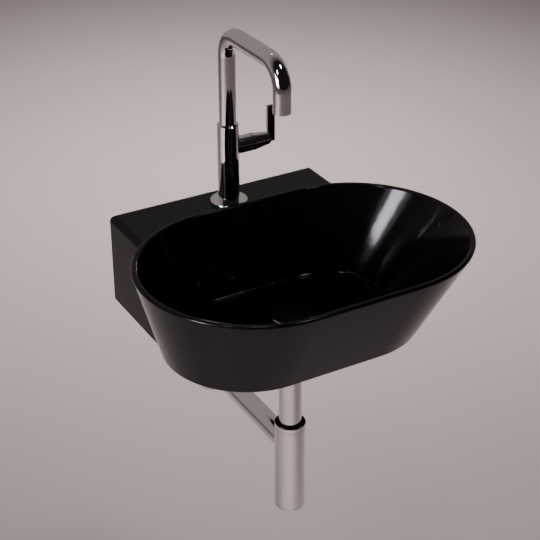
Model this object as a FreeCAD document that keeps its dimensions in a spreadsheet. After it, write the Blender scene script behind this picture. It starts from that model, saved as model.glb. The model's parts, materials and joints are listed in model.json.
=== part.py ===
import FreeCAD, Part
import math
import os
import re
import Sketcher
from FreeCAD import Placement, Rotation, Vector

# Wall-hung ceramic washbasin with a single-hole swivel mixer, a click waste and a bottle trap.
# Millimetres. The origin is midway between the two wall bolts, on the wall's face.
# +X is to the right along the wall, +Y goes into the wall and +Z is up.

SIZES = {
    # ceramic basin: the outer shape runs from a wide rim to a smaller base
    "rim_height": 80,
    "bowl_height": 142.5,
    "block_drop": 159,
    "rim_half_length": 230.7,
    "rim_radius": 155,
    "rim_setback": 257,
    "base_half_length": 182.5,
    "base_radius": 114.5,
    "base_setback": 221.5,
    "rim_width": 8,
    "rim_round": 3,
    "base_bevel": 1.5,
    # bowl inside
    "bowl_depth": 126.5,
    "floor_half_length": 148,
    "floor_radius": 84.5,
    "floor_setback": 209.5,
    "floor_round": 7,
    "shell_thickness": 10,
    "shell_inset": 1,
    # tap deck and rear block, hollow from below
    "deck_drop": 26.5,
    "deck_thickness": 12,
    "deck_round": 9,
    "block_half_width": 161,
    "block_reach": 156,
    "block_round": 3,
    "back_wall": 12,
    "side_wall": 10,
    "recess_height": 80,
    # wall fixing
    "bolt_spacing": 200,
    "bolt_hole_radius": 8,
    "bolt_radius": 5,
    "bolt_thread_radius": 4,
    "bolt_shoulder": 0.3,
    "bolt_inner_length": 36,
    "bolt_wall_length": 60,
    "bush_flange_radius": 14,
    "bush_flange": 3,
    "bush_gap": 0.5,
    "washer_radius": 11,
    "washer_thickness": 2,
    "bolt_nut_flats": 13,
    "bolt_nut_height": 6.5,
    "nut_bevel": 1,
    "nut_corner": 0.57,
    # mixer
    "tap_setback": 48,
    "tap_hole_radius": 17.5,
    "gasket_thickness": 1,
    "gasket_radius": 24,
    "flange_radius": 26,
    "flange_thickness": 5,
    "flange_round": 1.2,
    "body_radius": 15,
    "spigot_radius": 14,
    "body_spigot": 8,
    "body_height": 119,
    "collar_height": 8,
    "collar_thread": 4,
    "collar_bevel": 1.2,
    "foot_radius": 13.45,
    "foot_seat_radius": 13.5,
    "foot_thickness": 2,
    "foot_play": 0.05,
    "foot_seal": 1,
    "glide_thickness": 1,
    "waterway_radius": 8,
    "channel_radius": 3.5,
    "barrel_height": 84,
    "barrel_radius": 12.3,
    "barrel_reach": 33.5,
    "cartridge_radius": 10.4,
    "cartridge_start": 9,
    "cartridge_length": 17.5,
    "cartridge_wall": 3,
    "cartridge_nut_length": 4.5,
    "cartridge_nut_play": 1,
    "seal_thickness": 1.5,
    "seal_offset": 5,
    "seal_radius": 4,
    "seal_bore": 2.5,
    "spindle_radius": 4,
    "spindle_disc_radius": 7,
    "spindle_disc": 4,
    "spindle_play": 0.32,
    "spindle_reach": 46,
    "running_gap": 0.08,
    "hub_gap": 1,
    "hub_length": 28.5,
    "hub_straight": 4,
    "hub_end_radius": 8.5,
    "blade_thickness": 4,
    "blade_width": 12,
    "blade_height": 48.5,
    "blade_foot": 5,
    "blade_start": 61,
    "blade_round": 1,
    "grub_radius": 1.5,
    "grub_depth": 1,
    "spout_radius": 11.9,
    "spout_bore": 10,
    "spout_rise": 249,
    "spout_reach": 145,
    "spout_bend": 33,
    "spout_drop": 61,
    "aerator_radius": 11,
    "aerator_height": 10,
    "aerator_bore": 9.5,
    "aerator_recess": 1,
    "aerator_insert_inset": 1,
    "inlet_radius": 4.5,
    "inlet_offset": 7,
    "inlet_forward": 4.5,
    "inlet_depth": 14,
    "stud_radius": 4,
    "stud_back": 9,
    "stud_length": 68,
    "horseshoe_radius": 25,
    "horseshoe_slot": 13,
    "horseshoe_slot_forward": 9,
    "horseshoe_gasket_thickness": 3,
    "horseshoe_thickness": 3,
    "mounting_nut_flats": 13,
    "mounting_nut_height": 10,
    # waste
    "drain_setback": 219.5,
    "drain_hole_radius": 23,
    "drain_flange_radius": 32.5,
    "drain_flange": 2,
    "drain_tube_radius": 20.9,
    "drain_tube_bore": 18.5,
    "drain_tube_length": 70,
    "top_seal": 1,
    "lower_seal": 5,
    "lower_seal_radius": 30,
    "back_nut_flats": 56,
    "back_nut_height": 9,
    "web_drop": 18,
    "web_height": 6,
    "web_thickness": 4,
    "web_hub_radius": 9.5,
    "web_reach": 19.5,
    "click_radius": 6.5,
    "click_bore": 4.08,
    "click_height": 24,
    "click_collar": 2,
    "click_collar_radius": 8.5,
    "click_bottom": 3,
    "plug_radius": 30,
    "plug_thickness": 5,
    "plug_round": 1.5,
    "plug_seal": 1.5,
    "plug_seal_radius": 26,
    "plug_seal_bore": 22,
    "plug_stem_radius": 4,
    "plug_stem_length": 28,
    "plug_stem_thread": 3,
    "plug_gap": 0.1,
    "tail_radius": 16,
    "tail_bore": 14.6,
    "tail_overlap": 15,
    "tail_seal": 5,
    "tail_nut_radius": 25,
    "tail_nut_height": 20,
    "tail_nut_lip": 4,
    "tail_nut_bevel": 2,
    "tail_nut_edge": 1,
    # trap
    "trap_top": 213,
    "trap_length": 143.5,
    "trap_radius": 22,
    "trap_wall": 1.5,
    "trap_collar_height": 6.5,
    "trap_joint": 0.4,
    "trap_collar_depth": 13,
    "trap_collar_wall": 1.2,
    "trap_seal": 6,
    "trap_base_height": 3,
    "trap_base_thread": 9,
    "trap_round": 1.2,
    "trap_edge": 0.5,
    "trap_base_wall": 3,
    "tail_depth": 85,
    "outlet_drop": 40.5,
    "outlet_into_wall": 40,
    "outlet_bore": 14.6,
    "outlet_mark_start": 1,
    "outlet_mark_width": 1,
    "outlet_mark_depth": 0.3,
    "rosette_radius": 35,
    "rosette_depth": 9,
    "rosette_edge": 2,
    "rosette_gap": 0.3,
    "rosette_neck": 5,
    "rosette_ring": 2,
    "rosette_ring_width": 3,
}

doc = FreeCAD.newDocument("Washbasin")
sheet = doc.addObject("Spreadsheet::Sheet", "Sizes")
for row, (alias, number) in enumerate(SIZES.items(), start=1):
    sheet.set(f"A{row}", alias)
    sheet.set(f"B{row}", str(number))
    sheet.setAlias(f"B{row}", alias)
doc.recompute()

NODES = []

# heights that several pieces share
DECK = "rim_height - deck_drop"
BASE = "rim_height - bowl_height"
BLOCK_BASE = "rim_height - block_drop"
FLOOR = "rim_height - bowl_depth"
FLOOR_UNDERSIDE = f"{FLOOR} - shell_thickness"
DECK_UNDERSIDE = f"{DECK} - deck_thickness"
DRAIN_TOP = f"{FLOOR} + top_seal + drain_flange"
DRAIN_END = f"{FLOOR} + top_seal - drain_tube_length"
BODY_TOP = f"{DECK} + body_height"
FOOT_SEAT = f"{BODY_TOP} - collar_height - collar_thread - glide_thickness - foot_thickness"
BARREL = f"{DECK} + barrel_height"
OUTLET = "-trap_top - outlet_drop"

# how near two heights are when they count as equal, and a right angle in radians
NEAR = 0.01
QUARTER_TURN = math.pi / 2

# turns that lay a piece's own Z axis along another axis
UPRIGHT = Rotation()
ALONG_X = Rotation(Vector(0, 1, 0), 90)
ALONG_Y = Rotation(Vector(1, 0, 0), -90)


def bound(text):
    """The text as a document expression, with each size read from the sheet."""
    return re.sub(r"[a-z_]+", lambda word: f"Sizes.{word[0]}" if word[0] in SIZES else word[0], text)


def value(text):
    """The present value of an expression, in millimetres."""
    result = sheet.evalExpression(bound(text))
    return float(getattr(result, "Value", result))


def bind(thing, target, text):
    thing.setExpression(target, bound(text))


def place(thing, x="0", y="0", z="0", turn=UPRIGHT):
    thing.Placement = Placement(Vector(value(x), value(y), value(z)), turn)
    for axis, text in (("x", x), ("y", y), ("z", z)):
        bind(thing, f"Placement.Base.{axis}", text)


def node(thing):
    """Marks an object as one of the washbasin's pieces."""
    NODES.append(thing)
    return thing


def new_body(name):
    return doc.addObject("PartDesign::Body", name)


def new_sketch(body, name, role="XY_Plane", offset="0"):
    """A sketch on one of the body's own origin planes, moved along the plane's normal."""
    plane = [feature for feature in body.Origin.OriginFeatures if feature.Role == role][0]
    sketch = body.newObject("Sketcher::SketchObject", name)
    sketch.AttachmentSupport = [(plane, "")]
    sketch.MapMode = "FlatFace"
    bind(sketch, "AttachmentOffset.Base.z", offset)
    return sketch


def fix(sketch, kind, references, text):
    """Adds one dimension and binds it to the sheet."""
    index = sketch.addConstraint(Sketcher.Constraint(kind, *references, value(text)))
    bind(sketch, f"Constraints[{index}]", text)


def fix_point(sketch, geometry, position, x, y):
    """Holds a point at (x, y) from the sketch's origin."""
    for kind, axis, text in (("DistanceX", -2, x), ("DistanceY", -1, y)):
        if text == "0":
            sketch.addConstraint(Sketcher.Constraint("PointOnObject", geometry, position, axis))
        else:
            fix(sketch, kind, (-1, 1, geometry, position), text)


def circle(sketch, radius, x="0", y="0"):
    shape = Part.Circle(Vector(value(x), value(y), 0), Vector(0, 0, 1), value(radius))
    index = sketch.addGeometry(shape, False)
    fix(sketch, "Radius", (index,), radius)
    fix_point(sketch, index, 3, x, y)


def polygon(sketch, points):
    """A closed outline through the points, each held from the sketch's origin."""
    corners = [Vector(value(x), value(y), 0) for x, y in points]
    first = sketch.GeometryCount
    count = len(corners)
    for i, corner in enumerate(corners):
        sketch.addGeometry(Part.LineSegment(corner, corners[(i + 1) % count]), False)
    for i in range(count):
        join = (first + i, 2, first + (i + 1) % count, 1)
        sketch.addConstraint(Sketcher.Constraint("Coincident", *join))
    for i, (x, y) in enumerate(points):
        fix_point(sketch, first + i, 1, x, y)


def rectangle(sketch, x_low, y_low, x_high, y_high):
    polygon(sketch, [(x_low, y_low), (x_high, y_low), (x_high, y_high), (x_low, y_high)])


def stadium(sketch, half_length, radius, centre_y):
    """Two half circles joined by straight sides, long way along X."""
    reach = f"{half_length} - ({radius})"
    centre, r, half = value(centre_y), value(radius), value(reach)
    up = Vector(0, 0, 1)
    right_circle = Part.Circle(Vector(half, centre, 0), up, r)
    left_circle = Part.Circle(Vector(-half, centre, 0), up, r)
    right = Part.ArcOfCircle(right_circle, -QUARTER_TURN, QUARTER_TURN)
    left = Part.ArcOfCircle(left_circle, QUARTER_TURN, 3 * QUARTER_TURN)
    back = Part.LineSegment(Vector(half, centre + r, 0), Vector(-half, centre + r, 0))
    front = Part.LineSegment(Vector(-half, centre - r, 0), Vector(half, centre - r, 0))
    for shape in (right, back, left, front):
        sketch.addGeometry(shape, False)
    for i in range(4):
        sketch.addConstraint(Sketcher.Constraint("Tangent", i, 2, (i + 1) % 4, 1))
    sketch.addConstraint(Sketcher.Constraint("Equal", 0, 2))
    fix(sketch, "Radius", (0,), radius)
    fix_point(sketch, 0, 3, reach, centre_y)
    fix_point(sketch, 2, 3, f"-({reach})", centre_y)


def loft(body, kind, name, sections):
    """A loft between stadium sections, each given as (height, half length, radius, centre y)."""
    sketches = []
    for i, (height, half_length, radius, centre_y) in enumerate(sections):
        sketch = new_sketch(body, f"{name}_section_{i}", offset=height)
        stadium(sketch, half_length, radius, centre_y)
        sketches.append(sketch)
    doc.recompute()
    feature = body.newObject(f"PartDesign::{kind}Loft", name)
    feature.Profile = sketches[0]
    feature.Sections = sketches[1:]
    feature.Ruled = True
    doc.recompute()
    return feature


def extrude(body, kind, sketch, length, name, reversed_way=False):
    """A Pad or a Pocket of the sketch; a pocket has to remove material."""
    before = body.Shape.Volume if kind == "Pocket" else 0
    feature = body.newObject(f"PartDesign::{kind}", name)
    feature.Profile = sketch
    bind(feature, "Length", length)
    feature.Reversed = reversed_way
    doc.recompute()
    if kind == "Pocket" and body.Shape.Volume >= before:
        raise RuntimeError(f"{name} cuts nothing")
    return feature


def edges_where(shape, test):
    """Names of the edges whose bounding box passes the test."""
    return [f"Edge{i}" for i, edge in enumerate(shape.Edges, start=1) if test(edge.BoundBox)]


def dress(body, kind, name, size, test):
    """A Fillet or a Chamfer on the edges that pass the test."""
    base = body.Tip
    feature = body.newObject(f"PartDesign::{kind}", name)
    feature.Base = (base, edges_where(base.Shape, test))
    bind(feature, "Radius" if kind == "Fillet" else "Size", size)
    doc.recompute()
    return feature


def level(text):
    """A test for edges that lie flat at one height."""
    height = value(text)
    return lambda box: abs(box.ZMin - height) < NEAR and abs(box.ZMax - height) < NEAR


def turned(name, points):
    """A piece of revolution about its own Z axis, from an outline of (radius, height) points."""
    body = new_body(name)
    sketch = new_sketch(body, f"{name}_outline", "XZ_Plane")
    polygon(sketch, points)
    doc.recompute()
    feature = body.newObject("PartDesign::Revolution", f"{name}_turn")
    feature.Profile = sketch
    feature.ReferenceAxis = (sketch, ["V_Axis"])
    feature.Angle = 360
    doc.recompute()
    return body


def ring_outline(inner, outer, low, high):
    return [(inner, low), (outer, low), (outer, high), (inner, high)]


def cone_edge_outline(inner, outer, low, high, bevel):
    """A ring's outline with its outer corners bevelled."""
    return [
        (inner, low),
        (f"{outer} - {bevel}", low),
        (outer, f"{low} + {bevel}"),
        (outer, f"{high} - {bevel}"),
        (f"{outer} - {bevel}", high),
        (inner, high),
    ]


def hexagon_nut(name, flats, bore, height):
    """A hexagon prism with bevelled corners and a round bore, standing on its own origin."""
    prism = doc.addObject("Part::Prism", f"{name}_prism")
    prism.Polygon = 6
    bind(prism, "Circumradius", f"{flats} / 2 / cos(30 deg)")
    bind(prism, "Height", height)
    outline = cone_edge_outline(bore, f"{flats} * nut_corner", "0", height, "nut_bevel")
    turning = turned(f"{name}_blank", outline)
    nut = doc.addObject("Part::Common", name)
    nut.Base = prism
    nut.Tool = turning
    doc.recompute()
    return nut


def pair(name, make, y="0"):
    """Two equal pieces at the wall bolts' places, kept as one group of two solids."""
    pieces = []
    for side, sign in (("left", "-"), ("right", "")):
        piece = make(f"{name}_{side}")
        place(piece, x=f"{sign}bolt_spacing / 2", y=y, turn=ALONG_Y)
        pieces.append(piece)
    group = doc.addObject("Part::Compound", name)
    group.Links = pieces
    doc.recompute()
    return node(group)


def make_basin():
    """The ceramic: a bowl that hangs in front of a hollow block with the tap deck."""
    body = new_body("basin_body")
    foot = (BASE, "base_half_length - base_bevel", "base_radius - base_bevel", "-base_setback")
    base = (f"{BASE} + base_bevel", "base_half_length", "base_radius", "-base_setback")
    rim = ("rim_height", "rim_half_length", "rim_radius", "-rim_setback")
    loft(body, "Additive", "outer_bowl", [foot, base, rim])
    plan = new_sketch(body, "block_plan", offset=BLOCK_BASE)
    rectangle(plan, "-block_half_width", "-block_reach", "block_half_width", "0")
    extrude(body, "Pad", plan, "block_drop - deck_drop", "block")
    side = value("block_half_width")
    deck = value(DECK)
    dress(body, "Fillet", "block_corners", "block_round",
          lambda box: abs(abs(box.XMin) - side) < NEAR and box.YMin > -NEAR and box.ZLength > NEAR)
    dress(body, "Fillet", "deck_edges", "deck_round",
          lambda box: abs(abs(box.XMin) - side) < NEAR and box.XLength < NEAR and box.ZMin > deck - NEAR)

    share = "recess_height / bowl_height"
    skirt = []
    for height, part in ((BASE, "0"), (f"{BASE} + recess_height", share)):
        length = f"base_half_length + (rim_half_length - base_half_length) * {part} - side_wall"
        radius = f"base_radius + (rim_radius - base_radius) * {part} - side_wall"
        centre = f"-base_setback - (rim_setback - base_setback) * {part}"
        skirt.append((height, length, radius, centre))
    loft(body, "Subtractive", "skirt_recess", skirt)
    front = new_sketch(body, "block_front_plan", offset=BLOCK_BASE)
    side = "block_half_width"
    rectangle(front, f"-{side}", "-block_reach", side, "side_wall - block_reach")
    extrude(body, "Pad", front, "recess_height / 2", "block_front")
    recess = new_sketch(body, "block_recess_plan", offset=BLOCK_BASE)
    inner_side = "block_half_width - side_wall"
    rectangle(recess, f"-({inner_side})", "side_wall - block_reach", inner_side, "-back_wall")
    hollow_height = "block_drop - deck_drop - deck_thickness"
    extrude(body, "Pocket", recess, hollow_height, "block_recess", reversed_way=True)

    shell_floor = (
        FLOOR_UNDERSIDE,
        "floor_half_length + shell_thickness",
        "floor_radius + shell_thickness",
        "-floor_setback",
    )
    shell_rim = ("rim_height", "rim_half_length - shell_inset", "rim_radius - shell_inset", "-rim_setback")
    loft(body, "Additive", "inner_shell", [shell_floor, shell_rim])
    floor = (FLOOR, "floor_half_length", "floor_radius", "-floor_setback")
    lip = ("rim_height", "rim_half_length - rim_width", "rim_radius - rim_width", "-rim_setback")
    loft(body, "Subtractive", "bowl", [floor, lip])

    drain = new_sketch(body, "drain_hole_plan", offset=FLOOR)
    circle(drain, "drain_hole_radius", y="-drain_setback")
    extrude(body, "Pocket", drain, "2 * shell_thickness", "drain_hole")
    tap = new_sketch(body, "tap_hole_plan", offset=DECK)
    circle(tap, "tap_hole_radius", y="-tap_setback")
    extrude(body, "Pocket", tap, "2 * deck_thickness", "tap_hole")
    wall = new_sketch(body, "bolt_hole_plan", "XZ_Plane")
    for sign in ("-", ""):
        circle(wall, "bolt_hole_radius", x=f"{sign}bolt_spacing / 2")
    extrude(body, "Pocket", wall, "2 * back_wall", "bolt_holes", reversed_way=True)

    dress(body, "Fillet", "rim_rounding", "rim_round", level("rim_height"))
    at_floor = level(FLOOR)
    hole = value("2 * drain_hole_radius") + NEAR
    dress(body, "Fillet", "floor_rounding", "floor_round", lambda box: at_floor(box) and box.XLength > hole)
    return node(body)


def make_wall_fixing():
    """Hanger bolts through the ceramic's back wall, each with a bush, a washer and a nut.

    A bolt's thicker end goes into the wall and its thinner end takes the nut.
    """
    def bolt(name):
        return turned(name, [
            ("0", "-bolt_inner_length"),
            ("bolt_thread_radius", "-bolt_inner_length"),
            ("bolt_thread_radius", "-bolt_shoulder"),
            ("bolt_radius", "-bolt_shoulder"),
            ("bolt_radius", "bolt_wall_length"),
            ("0", "bolt_wall_length"),
        ])

    def bush(name):
        return turned(name, [
            ("bolt_thread_radius", "-back_wall - bush_flange"),
            ("bush_flange_radius", "-back_wall - bush_flange"),
            ("bush_flange_radius", "-back_wall"),
            ("bolt_hole_radius", "-back_wall"),
            ("bolt_hole_radius", "-bush_gap"),
            ("bolt_thread_radius", "-bush_gap"),
        ])

    def washer(name):
        seat = "-back_wall - bush_flange"
        low = f"{seat} - washer_thickness"
        return turned(name, ring_outline("bolt_thread_radius", "washer_radius", low, seat))

    def nut(name):
        return hexagon_nut(name, "bolt_nut_flats", "bolt_thread_radius", "bolt_nut_height")

    pair("hanger_bolts", bolt)
    pair("bolt_bushes", bush)
    pair("bolt_washers", washer)
    pair("bolt_nuts", nut, y="-back_wall - bush_flange - washer_thickness - bolt_nut_height")


def at_tap(thing, turn=UPRIGHT, x="0", y="-tap_setback", z="0"):
    place(thing, x=x, y=y, z=z, turn=turn)
    return node(thing)


def at_drain(thing, z="0"):
    place(thing, y="-drain_setback", z=z)
    return node(thing)


def make_faucet_body():
    """The brass body: an upright column with a side barrel, waterways and two supply inlets."""
    foot = f"{DECK} + gasket_thickness"
    bottom = f"{DECK} - body_spigot"
    top = f"{BODY_TOP} - collar_height"
    body = turned("faucet_body", [
        ("0", bottom),
        ("spigot_radius", bottom),
        ("spigot_radius", foot),
        ("body_radius", foot),
        ("body_radius", top),
        ("foot_seat_radius", top),
        ("foot_seat_radius", f"{FOOT_SEAT} - foot_seal"),
        ("waterway_radius", f"{FOOT_SEAT} - foot_seal"),
        ("waterway_radius", BARREL),
        ("0", BARREL),
    ])
    barrel = new_sketch(body, "barrel_plan", "YZ_Plane")
    circle(barrel, "barrel_radius", y=BARREL)
    extrude(body, "Pad", barrel, "barrel_reach", "barrel")
    chamber = new_sketch(body, "chamber_plan", "YZ_Plane", offset="barrel_reach")
    circle(chamber, "cartridge_radius", y=BARREL)
    extrude(body, "Pocket", chamber, "barrel_reach - cartridge_start", "chamber")
    upper = new_sketch(body, "upper_waterway_plan", offset=f"{FOOT_SEAT} - foot_seal")
    circle(upper, "waterway_radius")
    extrude(body, "Pocket", upper, f"{FOOT_SEAT} - foot_seal - ({BARREL})", "upper_waterway")
    for side, sign in (("left", "-"), ("right", "")):
        inlet = new_sketch(body, f"inlet_plan_{side}", offset=bottom)
        circle(inlet, "inlet_radius", x=f"{sign}inlet_offset", y="-inlet_forward")
        extrude(body, "Pocket", inlet, "inlet_depth", f"inlet_{side}", reversed_way=True)
        channel = new_sketch(body, f"channel_plan_{side}", offset=bottom)
        circle(channel, "channel_radius", x=f"{sign}inlet_offset", y="-inlet_forward")
        rise = f"{BARREL} - ({bottom})"
        extrude(body, "Pocket", channel, rise, f"channel_{side}", reversed_way=True)
    stud = new_sketch(body, "stud_hole_plan", offset=bottom)
    circle(stud, "stud_radius", y="stud_back")
    extrude(body, "Pocket", stud, "body_spigot", "stud_hole", reversed_way=True)
    at_tap(body)


def make_faucet_base():
    """The gasket and the cover plate on the deck, and the fixing under it."""
    top = f"{DECK} + gasket_thickness"
    at_tap(turned("faucet_gasket", ring_outline("spigot_radius", "gasket_radius", DECK, top)))
    plate = ring_outline("body_radius", "flange_radius", top, f"{top} + flange_thickness")
    flange = turned("faucet_flange", plate)
    outer = value("flange_radius")
    at_top = level(f"{top} + flange_thickness")
    dress(flange, "Fillet", "flange_rounding", "flange_round",
          lambda box: at_top(box) and box.XMax > outer - NEAR)
    at_tap(flange)

    rod_low = f"{DECK} - stud_length"
    stud = turned("mounting_stud", ring_outline("0", "stud_radius", rod_low, DECK))
    at_tap(stud, y="-tap_setback + stud_back")
    under = DECK_UNDERSIDE
    for name, thickness in (
        ("horseshoe_gasket", "horseshoe_gasket_thickness"),
        ("horseshoe_plate", "horseshoe_thickness"),
    ):
        under = f"{under} - {thickness}"
        at_tap(horseshoe(name, thickness), z=under)
    nut = hexagon_nut("mounting_nut", "mounting_nut_flats", "stud_radius", "mounting_nut_height")
    at_tap(nut, y="-tap_setback + stud_back", z=f"{under} - mounting_nut_height")


def horseshoe(name, thickness):
    """A disc with a slot open to the front for the supply pipes, and a hole for the stud."""
    body = new_body(name)
    plan = new_sketch(body, f"{name}_plan")
    circle(plan, "horseshoe_radius")
    circle(plan, "stud_radius", y="stud_back")
    extrude(body, "Pad", plan, thickness, f"{name}_disc")
    slot = new_sketch(body, f"{name}_slot_plan")
    circle(slot, "horseshoe_slot", y="-horseshoe_slot_forward")
    extrude(body, "Pocket", slot, thickness, f"{name}_slot_end", reversed_way=True)
    mouth = new_sketch(body, f"{name}_mouth_plan")
    front = "-2 * horseshoe_radius"
    rectangle(mouth, "-horseshoe_slot", front, "horseshoe_slot", "-horseshoe_slot_forward")
    extrude(body, "Pocket", mouth, thickness, f"{name}_mouth", reversed_way=True)
    return body


def make_spout():
    """The bent tube, its foot in the body and the rings that hold it there."""
    low = f"{FOOT_SEAT} + foot_play"
    top = f"{DECK} + spout_rise"
    outlet = f"{top} - spout_drop"
    body = new_body("spout")
    section = new_sketch(body, "spout_section", offset=low)
    circle(section, "spout_radius")
    circle(section, "spout_bore")
    path = new_sketch(body, "spout_path", "YZ_Plane")
    spout_path(path, low, top, outlet)
    doc.recompute()
    tube = body.newObject("PartDesign::AdditivePipe", "spout_tube")
    tube.Profile = section
    tube.Spine = (path, [f"Edge{i}" for i in range(1, 6)])
    doc.recompute()
    foot = new_sketch(body, "spout_foot_plan", offset=low)
    circle(foot, "foot_radius")
    circle(foot, "spout_bore")
    extrude(body, "Pad", foot, "foot_thickness - 2 * foot_play", "spout_foot")
    mouth = new_sketch(body, "spout_mouth_plan", offset=outlet)
    circle(mouth, "aerator_radius", y="-spout_reach")
    extrude(body, "Pocket", mouth, "aerator_height + aerator_recess", "spout_mouth", reversed_way=True)
    at_tap(body)

    low = f"{outlet} + aerator_recess"
    ends = {"y": "-tap_setback - spout_reach"}
    housing = ring_outline("aerator_bore", "aerator_radius", low, f"{low} + aerator_height")
    at_tap(turned("aerator_housing", housing), **ends)
    insert_low = f"{low} + aerator_insert_inset"
    insert_high = f"{low} + aerator_height - aerator_insert_inset"
    insert = ring_outline("0", "aerator_bore", insert_low, insert_high)
    at_tap(turned("aerator_insert", insert), **ends)

    seal_low = f"{FOOT_SEAT} - foot_seal"
    face_seal = ring_outline("spout_bore", "foot_seat_radius", seal_low, FOOT_SEAT)
    at_tap(turned("spout_face_seal", face_seal))
    glide_low = f"{FOOT_SEAT} + foot_thickness"
    sliding = "spout_radius + running_gap"
    glide = ring_outline(sliding, "foot_seat_radius", glide_low, f"{glide_low} + glide_thickness")
    at_tap(turned("spout_glide_ring", glide))
    joint = f"{BODY_TOP} - collar_height"
    at_tap(turned("spout_collar", [
        (sliding, f"{joint} - collar_thread"),
        ("foot_seat_radius", f"{joint} - collar_thread"),
        ("foot_seat_radius", joint),
        ("body_radius", joint),
        ("body_radius", f"{BODY_TOP} - collar_bevel"),
        ("body_radius - collar_bevel", BODY_TOP),
        (sliding, BODY_TOP),
    ]))


def spout_path(sketch, low, top, outlet):
    """Centre line of the spout: up, a quarter bend, forward, a quarter bend, down."""
    reach, bend = value("spout_reach"), value("spout_bend")
    z_low, z_top, z_out = value(low), value(top), value(outlet)
    normal = Vector(0, 0, 1)
    rear_centre = Vector(-bend, z_top - bend, 0)
    front_centre = Vector(bend - reach, z_top - bend, 0)
    shapes = (
        Part.LineSegment(Vector(0, z_low, 0), Vector(0, z_top - bend, 0)),
        Part.ArcOfCircle(Part.Circle(rear_centre, normal, bend), 0, QUARTER_TURN),
        Part.LineSegment(Vector(-bend, z_top, 0), Vector(bend - reach, z_top, 0)),
        Part.ArcOfCircle(Part.Circle(front_centre, normal, bend), QUARTER_TURN, 2 * QUARTER_TURN),
        Part.LineSegment(Vector(-reach, z_top - bend, 0), Vector(-reach, z_out, 0)),
    )
    for shape in shapes:
        sketch.addGeometry(shape, False)
    for i in range(4):
        sketch.addConstraint(Sketcher.Constraint("Tangent", i, 2, i + 1, 1))
    for arc, centre in ((1, "-spout_bend"), (3, "spout_bend - spout_reach")):
        fix(sketch, "Radius", (arc,), "spout_bend")
        fix_point(sketch, arc, 3, centre, f"{top} - spout_bend")
    fix_point(sketch, 0, 1, "0", low)
    fix_point(sketch, 4, 2, "-spout_reach", outlet)


def make_lever():
    """The cartridge in the side barrel and the lever on its spindle; heights here run along X."""
    def on_barrel(thing, y="-tap_setback"):
        return at_tap(thing, turn=ALONG_X, y=y, z=BARREL)

    start = "cartridge_start + seal_thickness"
    end = f"{start} + cartridge_length"
    sliding = "spindle_radius + running_gap"
    room = "spindle_disc_radius + spindle_play"
    on_barrel(turned("cartridge_body", [
        ("0", start),
        ("cartridge_radius", start),
        ("cartridge_radius", end),
        (sliding, end),
        (sliding, f"{end} - cartridge_wall"),
        (room, f"{end} - cartridge_wall"),
        (room, f"{start} + cartridge_wall"),
        ("0", f"{start} + cartridge_wall"),
    ]))
    disc_low = f"{end} - cartridge_wall - spindle_disc - spindle_play"
    disc_high = f"{disc_low} + spindle_disc"
    on_barrel(turned("cartridge_spindle", [
        ("0", disc_low),
        ("spindle_disc_radius", disc_low),
        ("spindle_disc_radius", disc_high),
        ("spindle_radius", disc_high),
        ("spindle_radius", "spindle_reach"),
        ("0", "spindle_reach"),
    ]))
    nut_end = f"{end} + cartridge_nut_length"
    nut_bore = "spindle_radius + cartridge_nut_play"
    on_barrel(turned("cartridge_nut", ring_outline(nut_bore, "cartridge_radius", end, nut_end)))
    seals = []
    for side, sign in (("front", "-"), ("back", "+")):
        outline = ring_outline("seal_bore", "seal_radius", "cartridge_start", start)
        ring = turned(f"cartridge_seal_{side}", outline)
        place(ring, y=f"-tap_setback {sign} seal_offset", z=BARREL, turn=ALONG_X)
        seals.append(ring)
    group = doc.addObject("Part::Compound", "cartridge_seals")
    group.Links = seals
    node(group)

    make_handle(on_barrel)


def make_handle(on_barrel):
    """The tapered hub, the flat upright blade let into its end and the screw that holds the hub."""
    hub_low = "barrel_reach + hub_gap"
    hub_high = f"{hub_low} + hub_length"
    blank = turned("hub_blank", [
        ("spindle_radius", hub_low),
        ("barrel_radius", hub_low),
        ("barrel_radius", f"{hub_low} + hub_straight"),
        ("hub_end_radius", hub_high),
        ("0", hub_high),
        ("0", "spindle_reach"),
        ("spindle_radius", "spindle_reach"),
    ])
    place(blank, y="-tap_setback", z=BARREL, turn=ALONG_X)
    blade = blade_plate("lever_blade", "blade_round")
    room = blade_plate("blade_room")
    screw = doc.addObject("Part::Cylinder", "lever_screw")
    bind(screw, "Radius", "grub_radius")
    bind(screw, "Height", "barrel_radius - spindle_radius - grub_depth")
    low = f"{BARREL} - barrel_radius + grub_depth"
    place(screw, x=f"{hub_low} + hub_straight / 2", y="-tap_setback", z=low)
    passage = doc.addObject("Part::Cylinder", "screw_passage")
    bind(passage, "Radius", "grub_radius")
    bind(passage, "Height", "barrel_radius")
    place(passage, x=f"{hub_low} + hub_straight / 2", y="-tap_setback", z=f"{BARREL} - barrel_radius")
    slotted = doc.addObject("Part::Cut", "hub_slotted")
    slotted.Base = blank
    slotted.Tool = room
    hub = doc.addObject("Part::Cut", "lever_hub")
    hub.Base = slotted
    hub.Tool = passage
    doc.recompute()
    for thing in (hub, blade, screw):
        node(thing)


def blade_plate(name, rounding=""):
    """The flat upright plate of the lever; its broad faces look forward and back."""
    body = new_body(name)
    plan = new_sketch(body, f"{name}_plan", "XZ_Plane")
    high = f"{BARREL} + blade_height"
    rectangle(plan, "blade_start", f"{BARREL} - blade_foot", "blade_start + blade_width", high)
    plate = body.newObject("PartDesign::Pad", f"{name}_pad")
    plate.Profile = plan
    bind(plate, "Length", "blade_thickness")
    plate.Midplane = True
    doc.recompute()
    if rounding:
        top = value(high)
        outer = value("blade_start + blade_width")
        dress(body, "Fillet", f"{name}_rounding", rounding,
              lambda box: box.ZMin > top - NEAR or box.XMin > outer - NEAR)
    place(body, y="-tap_setback")
    return body


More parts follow.
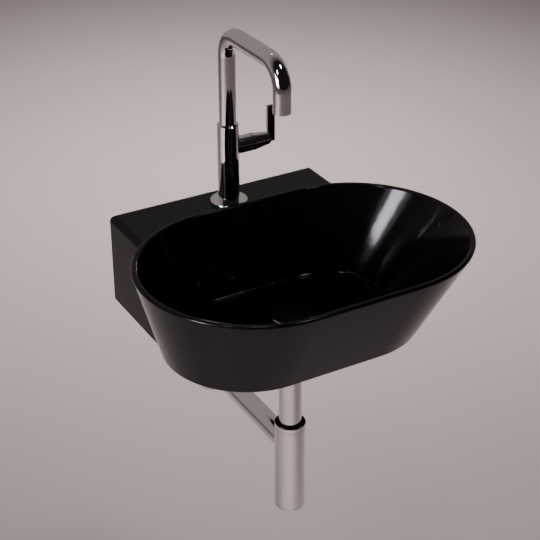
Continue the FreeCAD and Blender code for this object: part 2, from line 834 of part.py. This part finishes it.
def make_waste():
    """The click waste in the bowl's floor: fixed body, seals and nut, and the plug that moves."""
    flange_low = f"{FLOOR} + top_seal"
    body = turned("drain_body", [
        ("drain_tube_bore", DRAIN_END),
        ("drain_tube_radius", DRAIN_END),
        ("drain_tube_radius", flange_low),
        ("drain_flange_radius", flange_low),
        ("drain_flange_radius", f"{DRAIN_TOP} - drain_flange / 2"),
        ("drain_flange_radius - drain_flange", DRAIN_TOP),
        ("drain_tube_bore + drain_flange", DRAIN_TOP),
        ("drain_tube_bore", f"{DRAIN_TOP} - drain_flange"),
    ])
    web_low = f"{FLOOR} - web_drop - web_height"
    for i, (half_x, half_y) in enumerate((
        ("web_reach", "web_thickness / 2"),
        ("web_thickness / 2", "web_reach"),
    )):
        bar = new_sketch(body, f"web_plan_{i}", offset=web_low)
        rectangle(bar, f"-({half_x})", f"-({half_y})", half_x, half_y)
        extrude(body, "Pad", bar, "web_height", f"web_{i}")
    hub = new_sketch(body, "web_hub_plan", offset=web_low)
    circle(hub, "web_hub_radius")
    extrude(body, "Pad", hub, "web_height", "web_hub")
    bore = new_sketch(body, "web_bore_plan", offset=web_low)
    circle(bore, "click_radius")
    extrude(body, "Pocket", bore, "web_height", "web_bore", reversed_way=True)
    at_drain(body)

    seal = ring_outline("drain_tube_radius", "drain_flange_radius - drain_flange", FLOOR, flange_low)
    at_drain(turned("drain_top_seal", seal))
    under = f"{FLOOR_UNDERSIDE} - lower_seal"
    at_drain(turned("drain_lower_seal", ring_outline(
        "drain_tube_radius", "lower_seal_radius", under, FLOOR_UNDERSIDE)))
    nut = hexagon_nut("drain_back_nut", "back_nut_flats", "drain_tube_radius", "back_nut_height")
    at_drain(nut, z=f"{under} - back_nut_height")

    barrel_high = f"{web_low} + click_height"
    web_high = f"{web_low} + web_height"
    at_drain(turned("click_barrel", [
        ("0", web_low),
        ("click_radius", web_low),
        ("click_radius", web_high),
        ("click_collar_radius", web_high),
        ("click_collar_radius", f"{web_high} + click_collar"),
        ("click_radius", f"{web_high} + click_collar"),
        ("click_radius", barrel_high),
        ("click_bore", barrel_high),
        ("click_bore", f"{web_low} + click_bottom"),
        ("0", f"{web_low} + click_bottom"),
    ]))
    make_plug()


def make_plug():
    """The disc that lifts from the drain, with its stem and its sealing ring."""
    seal_low = f"{DRAIN_TOP} + plug_gap"
    cap_low = f"{seal_low} + plug_seal"
    stem_high = f"{cap_low} + plug_stem_thread"
    cap = turned("plug_cap", [
        ("0", stem_high),
        ("plug_stem_radius", stem_high),
        ("plug_stem_radius", cap_low),
        ("plug_radius", cap_low),
        ("plug_radius", f"{cap_low} + plug_thickness"),
        ("0", f"{cap_low} + plug_thickness"),
    ])
    at_top = level(f"{cap_low} + plug_thickness")
    dress(cap, "Fillet", "plug_rounding", "plug_round", at_top)
    at_drain(cap)
    stem = ring_outline("0", "plug_stem_radius", f"{stem_high} - plug_stem_length", stem_high)
    at_drain(turned("plug_stem", stem))
    seal = ring_outline("plug_seal_bore", "plug_seal_radius", seal_low, cap_low)
    at_drain(turned("plug_seal_ring", seal))


def make_tailpiece():
    """The tube from the waste into the trap, with its slip nut and seal."""
    seal_low = f"{DRAIN_END} - tail_seal"
    lip_low = f"{seal_low} - tail_nut_lip"
    at_drain(turned("tailpiece", ring_outline(
        "tail_bore", "tail_radius", "-trap_top - tail_depth", f"{DRAIN_END} + tail_overlap")))
    at_drain(turned("tailpiece_seal", ring_outline(
        "tail_radius", "drain_tube_radius", seal_low, DRAIN_END)))
    at_drain(turned("tailpiece_nut", [
        ("tail_radius", lip_low),
        ("tail_nut_radius - tail_nut_bevel", lip_low),
        ("tail_nut_radius", f"{lip_low} + tail_nut_bevel"),
        ("tail_nut_radius", f"{lip_low} + tail_nut_height - tail_nut_edge"),
        ("tail_nut_radius - tail_nut_edge", f"{lip_low} + tail_nut_height"),
        ("drain_tube_radius", f"{lip_low} + tail_nut_height"),
        ("drain_tube_radius", seal_low),
        ("tail_radius", seal_low),
    ]))


def make_trap():
    """The slim bottle trap: sleeve, screwed collar above, screwed plug below, tube to the wall."""
    inner = "trap_radius - trap_wall"
    top = "-trap_top"
    bottom = "-trap_top - trap_length"
    sleeve_high = f"{top} - trap_collar_height - trap_joint"
    sleeve_low = f"{bottom} + trap_base_height + trap_joint"
    sleeve = turned("trap_sleeve", ring_outline(inner, "trap_radius", sleeve_low, sleeve_high))
    side = new_sketch(sleeve, "side_hole_plan", "XZ_Plane")
    circle(side, "tail_radius", y=OUTLET)
    extrude(sleeve, "Pocket", side, "2 * trap_radius", "side_hole")
    at_drain(sleeve)

    skirt_low = f"{top} - trap_collar_depth"
    bore = f"{inner} - trap_collar_wall"
    at_drain(turned("trap_collar", [
        (bore, skirt_low),
        (inner, skirt_low),
        (inner, f"{top} - trap_collar_height"),
        ("trap_radius", f"{top} - trap_collar_height"),
        ("trap_radius", f"{top} - trap_edge"),
        ("trap_radius - trap_edge", top),
        (bore, top),
    ]))
    at_drain(turned("trap_inlet_seal", ring_outline(
        "tail_radius", inner, f"{skirt_low} - trap_seal", skirt_low)))

    flange_high = f"{bottom} + trap_base_height"
    plug = turned("trap_base_plug", [
        ("0", bottom),
        ("trap_radius", bottom),
        ("trap_radius", flange_high),
        (inner, flange_high),
        (inner, f"{flange_high} + trap_base_thread"),
        (f"{inner} - trap_base_wall", f"{flange_high} + trap_base_thread"),
        (f"{inner} - trap_base_wall", flange_high),
        ("0", flange_high),
    ])
    dress(plug, "Fillet", "trap_base_rounding", "trap_round", level(bottom))
    at_drain(plug)
    seal = ring_outline(inner, "trap_radius - trap_joint", flange_high, sleeve_low)
    at_drain(turned("trap_base_seal", seal))
    make_outlet(inner)


def make_outlet(inner):
    """The level tube from the trap into the wall, with the rosette that covers the wall's hole.

    A turned line on the tube marks how far it goes into the wall.
    """
    mark_end = "outlet_mark_start + outlet_mark_width"
    marked = "tail_radius - outlet_mark_depth"
    pipe = turned("outlet_pipe", [
        ("outlet_bore", "-drain_setback"),
        ("tail_radius", "-drain_setback"),
        ("tail_radius", "outlet_mark_start"),
        (marked, "outlet_mark_start"),
        (marked, mark_end),
        ("tail_radius", mark_end),
        ("tail_radius", "outlet_into_wall"),
        ("outlet_bore", "outlet_into_wall"),
    ])
    place(pipe, z=OUTLET, turn=ALONG_Y)
    trap_room = doc.addObject("Part::Cylinder", "trap_room")
    bind(trap_room, "Radius", inner)
    bind(trap_room, "Height", "trap_length")
    place(trap_room, y="-drain_setback", z="-trap_top - trap_length")
    outlet = doc.addObject("Part::Cut", "outlet_tube")
    outlet.Base = pipe
    outlet.Tool = trap_room
    doc.recompute()
    node(outlet)

    bore = "tail_radius + rosette_gap"
    neck = f"{bore} + rosette_neck"
    rosette = turned("wall_rosette", [
        (bore, "-rosette_depth"),
        (neck, "-rosette_depth"),
        ("rosette_radius", "-rosette_edge"),
        ("rosette_radius", "0"),
        ("rosette_radius - rosette_edge", "0"),
        (neck, "-rosette_depth + rosette_edge"),
        (bore, "-rosette_depth + rosette_edge"),
    ])
    place(rosette, z=OUTLET, turn=ALONG_Y)
    node(rosette)
    ring_low = "-rosette_depth + rosette_edge"
    ring_high = f"{ring_low} + rosette_ring"
    ring_edge = f"{bore} + rosette_ring_width"
    ring = turned("rosette_ring", ring_outline("tail_radius", ring_edge, ring_low, ring_high))
    place(ring, z=OUTLET, turn=ALONG_Y)
    node(ring)


def check_and_export():
    """Stops on any failed object, then writes one file for each piece."""
    doc.recompute()
    for thing in doc.Objects:
        faults = [word for word in thing.State if word in ("Invalid", "Error")]
        if faults:
            raise RuntimeError(f"{thing.Label}: {faults}")
    os.makedirs("parts", exist_ok=True)
    for thing in NODES:
        shape = thing.Shape
        if shape.isNull() or not shape.isValid():
            raise RuntimeError(f"{thing.Label} has no valid shape")
        shape.exportStep(f"parts/{thing.Label}.step")
        print(thing.Label, len(shape.Solids), "solid(s)", round(shape.Volume), "mm3")


make_basin()
make_wall_fixing()
make_faucet_body()
make_faucet_base()
make_spout()
make_lever()
make_waste()
make_tailpiece()
make_trap()
check_and_export()
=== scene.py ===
import json
import math

import bmesh
import bpy
from mathutils import Matrix, Vector


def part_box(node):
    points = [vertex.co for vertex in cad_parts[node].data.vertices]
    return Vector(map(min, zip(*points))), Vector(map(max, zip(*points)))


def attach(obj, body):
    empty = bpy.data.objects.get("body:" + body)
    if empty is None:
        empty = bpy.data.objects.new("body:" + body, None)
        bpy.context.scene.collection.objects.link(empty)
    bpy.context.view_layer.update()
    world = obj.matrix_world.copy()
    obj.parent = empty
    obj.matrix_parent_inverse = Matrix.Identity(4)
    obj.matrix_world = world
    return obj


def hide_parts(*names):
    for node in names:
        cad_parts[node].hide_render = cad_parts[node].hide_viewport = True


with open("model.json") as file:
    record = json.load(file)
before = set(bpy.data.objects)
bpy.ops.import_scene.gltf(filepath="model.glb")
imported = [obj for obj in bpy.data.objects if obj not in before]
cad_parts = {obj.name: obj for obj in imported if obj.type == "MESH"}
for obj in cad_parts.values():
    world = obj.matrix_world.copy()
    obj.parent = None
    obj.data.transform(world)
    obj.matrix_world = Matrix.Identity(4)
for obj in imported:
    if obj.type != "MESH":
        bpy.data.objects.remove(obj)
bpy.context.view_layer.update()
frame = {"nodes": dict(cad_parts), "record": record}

# Wall-hung washbasin: the CAD pieces get their finishes here, and a few small pieces
# (threads, jet plate, screw socket, grip nut) replace plain CAD solids with detailed meshes.
# Metres. +X right along the wall, +Y into the wall, +Z up; the origin lies on the wall's face.

NODES = frame["nodes"]

# ---------------------------------------------------------------- camera

CAMERA_PLACE = (-0.80328, -1.56787, 0.91866)
CAMERA_AZIMUTH = -29.760
CAMERA_ELEVATION = 29.548
CAMERA_LENS = 91.893
SENSOR = 36.0

camera_data = bpy.data.cameras.new("camera")
camera_data.lens = CAMERA_LENS
camera_data.sensor_width = SENSOR
camera = bpy.data.objects.new("camera", camera_data)
camera.location = CAMERA_PLACE
camera.rotation_euler = (math.radians(90 - CAMERA_ELEVATION), 0, math.radians(CAMERA_AZIMUTH))
bpy.context.scene.collection.objects.link(camera)
bpy.context.scene.camera = camera


# ---------------------------------------------------------------- node helpers

class Nodes:
    """Adds shader nodes to one material and joins them."""

    def __init__(self, tree):
        self.tree = tree
        tree.nodes.clear()

    def add(self, kind, inputs=None, **settings):
        made = self.tree.nodes.new(kind)
        for name, setting in settings.items():
            setattr(made, name, setting)
        for socket, value in (inputs or {}).items():
            if isinstance(value, bpy.types.NodeSocket):
                self.tree.links.new(value, made.inputs[socket])
            else:
                made.inputs[socket].default_value = value
        return made

    def noise(self, vector, scale, detail=3.0, roughness=0.5):
        made = self.add("ShaderNodeTexNoise", {
            "Vector": vector, "Scale": scale, "Detail": detail, "Roughness": roughness})
        return made.outputs["Fac"]

    def spread(self, value, low, high, start=0.0, end=1.0):
        """The value from low..high carried to start..end, held at both ends."""
        made = self.add("ShaderNodeMapRange", {
            "Value": value, "From Min": low, "From Max": high, "To Min": start, "To Max": end})
        return made.outputs["Result"]

    def blend(self, share, first, second):
        made = self.add("ShaderNodeMix", data_type="RGBA")
        for socket, value in ((0, share), (6, first), (7, second)):
            if isinstance(value, bpy.types.NodeSocket):
                self.tree.links.new(value, made.inputs[socket])
            else:
                made.inputs[socket].default_value = value
        return made.outputs[2]

    def maths(self, operation, first, second=0.0):
        made = self.add("ShaderNodeMath", {0: first, 1: second}, operation=operation)
        return made.outputs[0]

    def bump(self, height, strength, distance, normal=None):
        inputs = {"Height": height, "Strength": strength, "Distance": distance}
        if normal is not None:
            inputs["Normal"] = normal
        return self.add("ShaderNodeBump", inputs).outputs["Normal"]


def new_material(name):
    material = bpy.data.materials.new(name)
    material.use_nodes = True
    nodes = Nodes(material.node_tree)
    place = nodes.add("ShaderNodeTexCoord").outputs["Object"]
    return material, nodes, place


def finish_material(nodes, inputs):
    surface = nodes.add("ShaderNodeBsdfPrincipled", inputs)
    nodes.add("ShaderNodeOutputMaterial", {"Surface": surface.outputs["BSDF"]})


def stretched(nodes, place, scale):
    return nodes.add("ShaderNodeMapping", {"Vector": place, "Scale": scale}).outputs["Vector"]


# ---------------------------------------------------------------- materials

def black_glaze():
    """Fired black glaze with a faint orange peel and specks, bare clay on its ground faces."""
    material, nodes, place = new_material("black_glaze")
    split = nodes.add("ShaderNodeSeparateXYZ", {"Vector": place})
    back = nodes.spread(split.outputs["Y"], -0.0007, -0.0002)
    under = nodes.spread(split.outputs["Z"], -0.0787, -0.0783, 1.0, 0.0)
    bare = nodes.maths("MAXIMUM", back, under)
    cloud = nodes.noise(place, 14.0, 4.0)
    fleck = nodes.spread(nodes.noise(place, 900.0, 2.0), 0.68, 0.78)
    dark = nodes.blend(cloud, (0.0024, 0.0020, 0.0021, 1), (0.0046, 0.0038, 0.0040, 1))
    glaze = nodes.blend(nodes.maths("MULTIPLY", fleck, 0.35), dark, (0.016, 0.014, 0.014, 1))
    grain = nodes.noise(place, 420.0, 5.0)
    clay = nodes.blend(grain, (0.50, 0.45, 0.38, 1), (0.70, 0.65, 0.58, 1))
    colour = nodes.blend(bare, glaze, clay)
    glossy = nodes.spread(nodes.noise(place, 33.0, 5.0), 0.25, 0.75, 0.095, 0.15)
    rough = nodes.blend(bare, glossy, (0.85, 0.85, 0.85, 1))
    wave = nodes.bump(nodes.noise(place, 9.0, 1.0), 0.03, 0.001)
    peel = nodes.bump(nodes.noise(place, 180.0, 1.0), 0.02, 0.0001, wave)
    finish_material(nodes, {
        "Base Color": colour, "Roughness": rough, "Normal": peel,
        "IOR": 1.5, "Specular IOR Level": 0.17})
    return material


def plated(name, low, high, rough, ripple):
    """Bright plating: nearly a mirror, with a faint ripple, dull patches and fine wiping marks."""
    material, nodes, place = new_material(name)
    patch = nodes.noise(place, 55.0, 4.0)
    colour = nodes.blend(patch, (*low, 1), (*high, 1))
    wiped = nodes.noise(stretched(nodes, place, (1.0, 1.0, 0.12)), 700.0, 3.0)
    dull = nodes.spread(nodes.noise(place, 24.0, 5.0), 0.45, 0.8, rough, rough * 2.0)
    roughness = nodes.maths("ADD", dull, nodes.maths("MULTIPLY", wiped, rough * 0.5))
    soft = nodes.bump(nodes.noise(place, 38.0, 1.0), 0.10, ripple)
    marks = nodes.bump(wiped, 0.02, 0.00005, soft)
    finish_material(nodes, {
        "Base Color": colour, "Metallic": 1.0, "Roughness": roughness, "Normal": marks})
    return material


def turned_brass():
    """Plain brass with turning rings and a slight tarnish."""
    material, nodes, place = new_material("turned_brass")
    patch = nodes.noise(place, 90.0, 5.0)
    colour = nodes.blend(patch, (0.56, 0.36, 0.13, 1), (0.80, 0.58, 0.26, 1))
    rings = nodes.noise(stretched(nodes, place, (1.0, 1.0, 30.0)), 120.0, 3.0)
    roughness = nodes.spread(nodes.noise(place, 40.0, 4.0), 0.3, 0.7, 0.22, 0.38)
    finish_material(nodes, {
        "Base Color": colour, "Metallic": 1.0, "Roughness": roughness,
        "Normal": nodes.bump(rings, 0.15, 0.0001)})
    return material


def zinc():
    """Zinc plating: blotchy grey with a slight blue and a fine grain."""
    material, nodes, place = new_material("zinc_plating")
    patch = nodes.noise(place, 130.0, 6.0, 0.65)
    colour = nodes.blend(patch, (0.40, 0.42, 0.45, 1), (0.68, 0.68, 0.66, 1))
    grain = nodes.noise(place, 1500.0, 3.0)
    roughness = nodes.spread(nodes.noise(place, 60.0, 4.0), 0.3, 0.7, 0.28, 0.48)
    finish_material(nodes, {
        "Base Color": colour, "Metallic": 1.0, "Roughness": roughness,
        "Normal": nodes.bump(grain, 0.12, 0.00008)})
    return material


def rubber():
    """Black rubber, dusted and finely pitted."""
    material, nodes, place = new_material("seal_rubber")
    dust = nodes.spread(nodes.noise(place, 110.0, 5.0), 0.5, 0.8)
    colour = nodes.blend(dust, (0.012, 0.012, 0.013, 1), (0.045, 0.043, 0.042, 1))
    pits = nodes.noise(place, 1400.0, 3.0)
    roughness = nodes.spread(nodes.noise(place, 200.0, 3.0), 0.3, 0.7, 0.62, 0.85)
    finish_material(nodes, {
        "Base Color": colour, "Roughness": roughness, "Normal": nodes.bump(pits, 0.3, 0.0001)})
    return material


def moulded(name, low, high):
    """Moulded plastic with flow clouds and a fine spark-eroded texture."""
    material, nodes, place = new_material(name)
    colour = nodes.blend(nodes.noise(place, 70.0, 4.0), (*low, 1), (*high, 1))
    texture = nodes.noise(place, 2200.0, 2.0)
    roughness = nodes.spread(nodes.noise(place, 160.0, 3.0), 0.3, 0.7, 0.38, 0.55)
    finish_material(nodes, {
        "Base Color": colour, "Roughness": roughness, "IOR": 1.47,
        "Normal": nodes.bump(texture, 0.2, 0.00008)})
    return material


MATERIALS = {
    "black_ceramic": black_glaze(),
    "tap_chrome": plated("tap_plating", (0.80, 0.78, 0.78), (0.86, 0.84, 0.84), 0.035, 0.00012),
    "waste_chrome": plated("waste_plating", (0.70, 0.68, 0.68), (0.78, 0.76, 0.76), 0.07, 0.0002),
    "trap_chrome": plated("trap_plating", (0.82, 0.79, 0.79), (0.88, 0.86, 0.86), 0.05, 0.00016),
    "brass": turned_brass(),
    "zinc_steel": zinc(),
    "black_rubber": rubber(),
    "white_plastic": moulded("white_moulding", (0.72, 0.72, 0.69), (0.80, 0.80, 0.77)),
    "black_plastic": moulded("black_moulding", (0.018, 0.018, 0.019), (0.035, 0.035, 0.036)),
}

SLOT_OF = {part["node"]: part["material_slot"] for part in frame["record"]["subparts"]}
for node_name, thing in NODES.items():
    thing.data.materials.clear()
    thing.data.materials.append(MATERIALS[SLOT_OF[node_name]])


# ---------------------------------------------------------------- detail pieces

def skin(bm, loops, closed=False):
    """Joins rings of points into a surface, with its ends capped unless it closes on itself."""
    rings = [[bm.verts.new(point) for point in loop] for loop in loops]
    pairs = list(zip(rings, rings[1:]))
    if closed:
        pairs.append((rings[-1], rings[0]))
    else:
        bm.faces.new(rings[0][::-1])
        bm.faces.new(rings[-1])
    for low, high in pairs:
        for here, after in zip(range(len(low)), [*range(1, len(low)), 0]):
            bm.faces.new((low[here], low[after], high[after], high[here]))


def ring(centre, radius, height, points=48, shape=None):
    """Points round a centre at a height; shape, if given, changes the radius with the angle."""
    turns = [math.tau * step / points for step in range(points)]
    radii = [shape(radius, turn) if shape else radius for turn in turns]
    return [Vector((centre[0] + r * math.cos(t), centre[1] + r * math.sin(t), height))
            for r, t in zip(radii, turns)]


def hexagon(flat, turn):
    """The radius of a hexagon at an angle, flat being half its width across flats."""
    return flat / math.cos((turn + math.pi / 6) % (math.pi / 3) - math.pi / 6)


ROWS = 8
COLUMNS = 24


def screw_thread(bm, place, length, radius, depth, pitch):
    """A threaded rod along the place's Z, its crest a true helix, chamfered at both ends."""
    turns = math.ceil(length / pitch) + 1
    rows = range(-ROWS, turns * ROWS + 1)
    grid = {}
    for row in rows:
        crest = 1 - abs(2 * (row % ROWS) / ROWS - 1)
        for column in range(COLUMNS):
            along = (row / ROWS + column / COLUMNS) * pitch
            along = min(max(along, 0.0), length)
            inset = min(along, length - along)
            reach = radius - depth + min(depth * crest, inset)
            angle = math.tau * column / COLUMNS
            point = Vector((reach * math.cos(angle), reach * math.sin(angle), along))
            grid[row, column] = bm.verts.new(place @ point)
    for row in rows[:-ROWS - 1]:
        for column in range(COLUMNS):
            after = (row, column + 1) if column + 1 < COLUMNS else (row + ROWS, 0)
            above = (after[0] + 1, after[1])
            bm.faces.new((grid[row, column], grid[after], grid[above], grid[row + 1, column]))
    bmesh.ops.remove_doubles(bm, verts=bm.verts, dist=1e-6)
    loose = [vertex for vertex in bm.verts if not vertex.link_faces]
    bmesh.ops.delete(bm, geom=loose, context="VERTS")
    bmesh.ops.holes_fill(bm, edges=bm.edges, sides=0)


def finished_piece(bm, name, body, node):
    """Links a mesh as the piece that stands for a CAD node, with that node's finish."""
    bmesh.ops.remove_doubles(bm, verts=bm.verts, dist=1e-6)
    bmesh.ops.recalc_face_normals(bm, faces=bm.faces)
    mesh = bpy.data.meshes.new(name)
    bm.to_mesh(mesh)
    bm.free()
    mesh.polygons.foreach_set("use_smooth", [True] * len(mesh.polygons))
    mesh.set_sharp_from_angle(angle=math.radians(32))
    mesh.materials.append(MATERIALS[SLOT_OF[node]])
    piece = bpy.data.objects.new(name, mesh)
    bpy.context.scene.collection.objects.link(piece)
    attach(piece, body)
    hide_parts(node)


BOLT_SHOULDER = -0.0003
MACHINE_RADIUS = 0.004
WOOD_RADIUS = 0.005


def make_hanger_bolts():
    """Both wall bolts: a fine machine thread for the nut, a coarse thread into the wall."""
    low, high = (Vector(corner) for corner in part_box("hanger_bolts"))
    middle = (low.z + high.z) / 2
    along_wall = Matrix.Rotation(-math.pi / 2, 4, "X")
    bm = bmesh.new()
    for x in (low.x + WOOD_RADIUS, high.x - WOOD_RADIUS):
        inner = Matrix.Translation((x, low.y, middle)) @ along_wall
        screw_thread(bm, inner, BOLT_SHOULDER - low.y, MACHINE_RADIUS, 0.0007, 0.00125)
        outer = Matrix.Translation((x, BOLT_SHOULDER, middle)) @ along_wall
        screw_thread(bm, outer, high.y - BOLT_SHOULDER, WOOD_RADIUS, 0.0013, 0.0036)
    finished_piece(bm, "threaded_wall_bolts", "basin", "hanger_bolts")


def make_stud():
    """The stud under the tap, threaded over its whole length."""
    low, high = (Vector(corner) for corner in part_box("mounting_stud"))
    foot = Matrix.Translation(((low.x + high.x) / 2, (low.y + high.y) / 2, low.z))
    bm = bmesh.new()
    screw_thread(bm, foot, high.z - low.z, (high.x - low.x) / 2, 0.0007, 0.00125)
    finished_piece(bm, "threaded_stud", "basin", "mounting_stud")


def cell_ring(x, y, flat, height):
    """A hexagon's six corners, two of its flats facing along X."""
    reach = flat / math.cos(math.pi / 6)
    turns = [math.pi / 6 + step * math.pi / 3 for step in range(6)]
    return [Vector((x + reach * math.cos(t), y + reach * math.sin(t), height)) for t in turns]


def make_jet_plate():
    """The aerator's insert: an outer ring, a plate, and a honeycomb that parts the water."""
    low, high = (Vector(corner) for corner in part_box("aerator_insert"))
    centre = (low + high) / 2
    radius = (high.x - low.x) / 2
    hollow = radius - 0.0009
    plate = high.z - 0.002
    bm = bmesh.new()
    skin(bm, [
        ring(centre, radius, low.z + 0.0003),
        ring(centre, radius, high.z),
        ring(centre, hollow, high.z),
        ring(centre, hollow, low.z),
        ring(centre, radius - 0.0003, low.z)], closed=True)
    skin(bm, [ring(centre, hollow, plate), ring(centre, hollow, plate + 0.001)])
    cell = 0.00095
    walls = 0.00013
    for row in range(-6, 7):
        for column in range(-6, 7):
            x = centre.x + (2 * column + row % 2) * cell
            y = centre.y + row * cell * math.sqrt(3)
            if math.hypot(x - centre.x, y - centre.y) > hollow - cell:
                continue
            skin(bm, [
                cell_ring(x, y, cell, low.z + 0.0008),
                cell_ring(x, y, cell, plate),
                cell_ring(x, y, cell - walls, plate),
                cell_ring(x, y, cell - walls, low.z + 0.0008)], closed=True)
    finished_piece(bm, "jet_plate", "spout", "aerator_insert")


def make_lever_screw():
    """The lever's small screw, with a hexagon socket below and a cup point above."""
    low, high = (Vector(corner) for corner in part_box("lever_screw"))
    centre = (low + high) / 2
    radius = (high.x - low.x) / 2
    socket_flat, socket_depth = 0.00075, 0.002
    bm = bmesh.new()
    skin(bm, [
        ring(centre, socket_flat, low.z + socket_depth, 48, hexagon),
        ring(centre, socket_flat, low.z, 48, hexagon),
        ring(centre, radius - 0.0002, low.z),
        ring(centre, radius, low.z + 0.0002),
        ring(centre, radius, high.z - 0.0004),
        ring(centre, radius - 0.0004, high.z),
        ring(centre, radius * 0.4, high.z - 0.0003)])
    finished_piece(bm, "socket_screw", "lever", "lever_screw")


GRIPS = 30


def make_grip_nut():
    """The tailpiece's slip nut, scalloped round its outside for the fingers."""
    low, high = (Vector(corner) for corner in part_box("tailpiece_nut"))
    centre = (low + high) / 2
    radius = (high.x - low.x) / 2
    tail, tube, lip = 0.016, 0.0209, 0.004

    def scallop(reach, turn):
        return reach - 0.0006 * (1 + math.cos(GRIPS * turn))

    outside = [
        (tail, low.z, None),
        (radius - 0.002, low.z, None),
        (radius, low.z + 0.002, None),
        (radius, low.z + 0.004, None),
        (radius, low.z + 0.005, scallop),
        (radius, high.z - 0.004, scallop),
        (radius, high.z - 0.003, None),
        (radius, high.z - 0.001, None),
        (radius - 0.001, high.z, None),
        (tube, high.z, None),
        (tube, low.z + lip, None),
        (tail, low.z + lip, None),
    ]
    bm = bmesh.new()
    skin(bm, [ring(centre, reach, height, 8 * GRIPS, shape) for reach, height, shape in outside],
         closed=True)
    finished_piece(bm, "grip_nut", "basin", "tailpiece_nut")


make_hanger_bolts()
make_stud()
make_jet_plate()
make_lever_screw()
make_grip_nut()


# ---------------------------------------------------------------- floor, light and surroundings

FLOOR_HEIGHT = -0.78
FLOOR_HALF = 9.0
MIDDLE = Vector((0.05, -0.20, 0.03))
WIDE = 180


def make_floor():
    mesh = bpy.data.meshes.new("floor")
    corners = [(-FLOOR_HALF, -FLOOR_HALF), (FLOOR_HALF, -FLOOR_HALF),
               (FLOOR_HALF, FLOOR_HALF), (-FLOOR_HALF, FLOOR_HALF)]
    mesh.from_pydata([(x, y, FLOOR_HEIGHT) for x, y in corners], [], [(0, 1, 2, 3)])
    floor = bpy.data.objects.new("floor", mesh)
    bpy.context.scene.collection.objects.link(floor)
    material, nodes, place = new_material("floor_plaster")
    cloud = nodes.noise(place, 1.3, 4.0)
    colour = nodes.blend(cloud, (0.62, 0.53, 0.52, 1), (0.66, 0.565, 0.555, 1))
    finish_material(nodes, {"Base Color": colour, "Roughness": 0.9})
    mesh.materials.append(material)


def soft_light(name, place, target, size, power, colour, spread=WIDE):
    """A rectangular soft light aimed at a point, its beam as wide as spread in degrees."""
    light = bpy.data.lights.new(name, "AREA")
    light.shape = "RECTANGLE"
    light.size, light.size_y = size
    light.energy = power
    light.color = colour
    light.spread = math.radians(spread)
    lamp = bpy.data.objects.new(name, light)
    lamp.location = place
    aim = Vector(target) - Vector(place)
    lamp.rotation_euler = aim.to_track_quat("-Z", "Y").to_euler()
    bpy.context.scene.collection.objects.link(lamp)


def studio_light(name, azimuth, elevation, distance, size, power, colour, spread=WIDE):
    """A soft light round the basin: azimuth 0 is in front and 90 to the right, in degrees."""
    around, up = math.radians(azimuth), math.radians(elevation)
    way = Vector((math.sin(around) * math.cos(up), -math.cos(around) * math.cos(up), math.sin(up)))
    soft_light(name, MIDDLE + way * distance, MIDDLE, size, power, colour, spread)


def floor_light(name, x, y, height, size, power, spread):
    """A square light that shines straight down, for the floor that the plating mirrors."""
    soft_light(name, (x, y, height), (x, y, 0.0), (size, size), power, (1.0, 0.96, 0.95), spread)


make_floor()
studio_light("window", -76, 9, 3.0, (0.72, 0.90), 5.2, (0.95, 0.87, 1.0), 40)
studio_light("window_edge", -76, 10, 3.1, (1.5, 1.4), 18, (0.93, 0.87, 1.0))
studio_light("key", 42, 63, 3.2, (0.5, 0.5), 16, (1.0, 0.97, 0.94))
studio_light("strip", -58, 43, 3.0, (0.22, 0.6), 9, (1.0, 0.98, 0.85))
floor_light("behind", 0.85, 1.60, 2.6, 1.2, 20, 66)
floor_light("left", -1.9, -0.3, 1.6, 1.0, 11, 60)
floor_light("front", -0.35, -0.9, 1.5, 0.5, 1.9, 40)

world = bpy.data.worlds.new("studio")
bpy.context.scene.world = world
world.use_nodes = True
sky = Nodes(world.node_tree)
way = sky.add("ShaderNodeTexCoord").outputs["Generated"]
parts = sky.add("ShaderNodeSeparateXYZ", {"Vector": way})
behind = sky.spread(parts.outputs["Y"], -0.05, 0.45)
# The camera meets the pale tone all round; only reflections meet the dark side in front.
seen = sky.add("ShaderNodeLightPath").outputs["Is Camera Ray"]
pale = sky.maths("MAXIMUM", behind, seen)
tone = sky.blend(pale, (0.010, 0.009, 0.010, 1), (0.29, 0.254, 0.252, 1))
background = sky.add("ShaderNodeBackground", {"Color": tone, "Strength": 1.0})
sky.add("ShaderNodeOutputWorld", {"Surface": background.outputs["Background"]})
